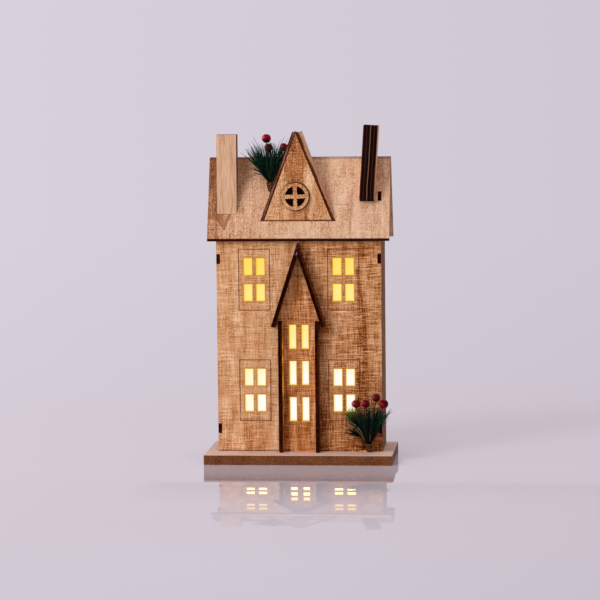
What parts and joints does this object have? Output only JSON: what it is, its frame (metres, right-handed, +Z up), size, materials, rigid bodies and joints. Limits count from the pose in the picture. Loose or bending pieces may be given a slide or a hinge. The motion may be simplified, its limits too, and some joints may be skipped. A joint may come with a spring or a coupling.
{
  "type": "tealight house",
  "caption": "Narrow laser-cut plywood house on a plinth, with a bay, dormer, chimneys and pine sprigs, lit from inside by a battery tealight put in through a doorway at the back.",
  "frame": {"origin": "middle of the plinth's underside", "axes": "+Z up, +X to the right of the house's front, +Y towards its back"},
  "size_m": [0.155, 0.08, 0.2767],
  "materials": {
    "plywood": "oiled birch plywood with burnt laser-cut edges",
    "roof_plywood": "paler birch plywood with burnt laser-cut edges",
    "pale_plywood": "pale birch plywood",
    "dark_plywood": "burnt plywood edges",
    "fibreboard": "bare fibreboard",
    "window_film": "translucent warm film",
    "needles": "artificial pine",
    "stem_tape": "brown paper tape",
    "berry_wire": "wrapped wire",
    "berries": "glossy red",
    "cup_plastic": "moulded white",
    "switch_plastic": "moulded black",
    "flame_plastic": "translucent",
    "diode_plastic": "clear yellow",
    "cell_steel": "satin",
    "contact_brass": "bright"
  },
  "bodies": {
    "house": {"front_wall": "plywood", "back_wall": "plywood", "left_side_wall": "plywood", "right_side_wall": "plywood", "bay_front_panel": "plywood", "bay_left_fin": "plywood", "bay_right_fin": "plywood", "bay_left_roof": "plywood", "bay_right_roof": "plywood", "roof_front_panel": "roof_plywood", "roof_back_panel": "roof_plywood", "dormer_front": "roof_plywood", "dormer_window_ring": "roof_plywood", "dormer_left_roof": "roof_plywood", "dormer_right_roof": "roof_plywood", "left_chimney_layer_1": "pale_plywood", "left_chimney_layer_2": "pale_plywood", "left_chimney_layer_3": "pale_plywood", "left_chimney_layer_4": "pale_plywood", "right_chimney_layer_1": "dark_plywood", "right_chimney_layer_2": "dark_plywood", "right_chimney_layer_3": "dark_plywood", "right_chimney_layer_4": "dark_plywood", "base_plinth": "fibreboard", "left_window_film": "window_film", "right_window_film": "window_film", "bay_window_film": "window_film", "roof_sprig_needles": "needles", "base_sprig_needles": "needles", "roof_sprig_stem": "stem_tape", "base_sprig_stem": "stem_tape", "roof_sprig_wires": "berry_wire", "base_sprig_wires": "berry_wire", "roof_sprig_berries": "berries", "base_sprig_berries": "berries"},
    "tealight": {"tealight_cup": "cup_plastic", "tealight_flame": "flame_plastic", "tealight_diode": "diode_plastic", "tealight_coin_cell": "cell_steel", "tealight_cell_contact": "contact_brass", "tealight_switch_contact": "contact_brass", "tealight_bottom_cover": "cup_plastic"},
    "battery_door": {"tealight_battery_door": "cup_plastic"},
    "switch": {"tealight_switch": "switch_plastic"}
  },
  "joints": [
    {"name": "tealight_slide", "type": "slide", "parent": "house", "child": "tealight", "axis": [0, 1, 0], "range_m": [0, 0.06]},
    {"name": "battery_door_twist", "type": "hinge", "parent": "tealight", "child": "battery_door", "pos_m": [0, 0.008, 0.0081], "axis": [0, 0, 1], "range_deg": [0, 40]},
    {"name": "switch_slide", "type": "slide", "parent": "tealight", "child": "switch", "axis": [1, 0, 0], "range_m": [0, 0.002]}
  ]
}
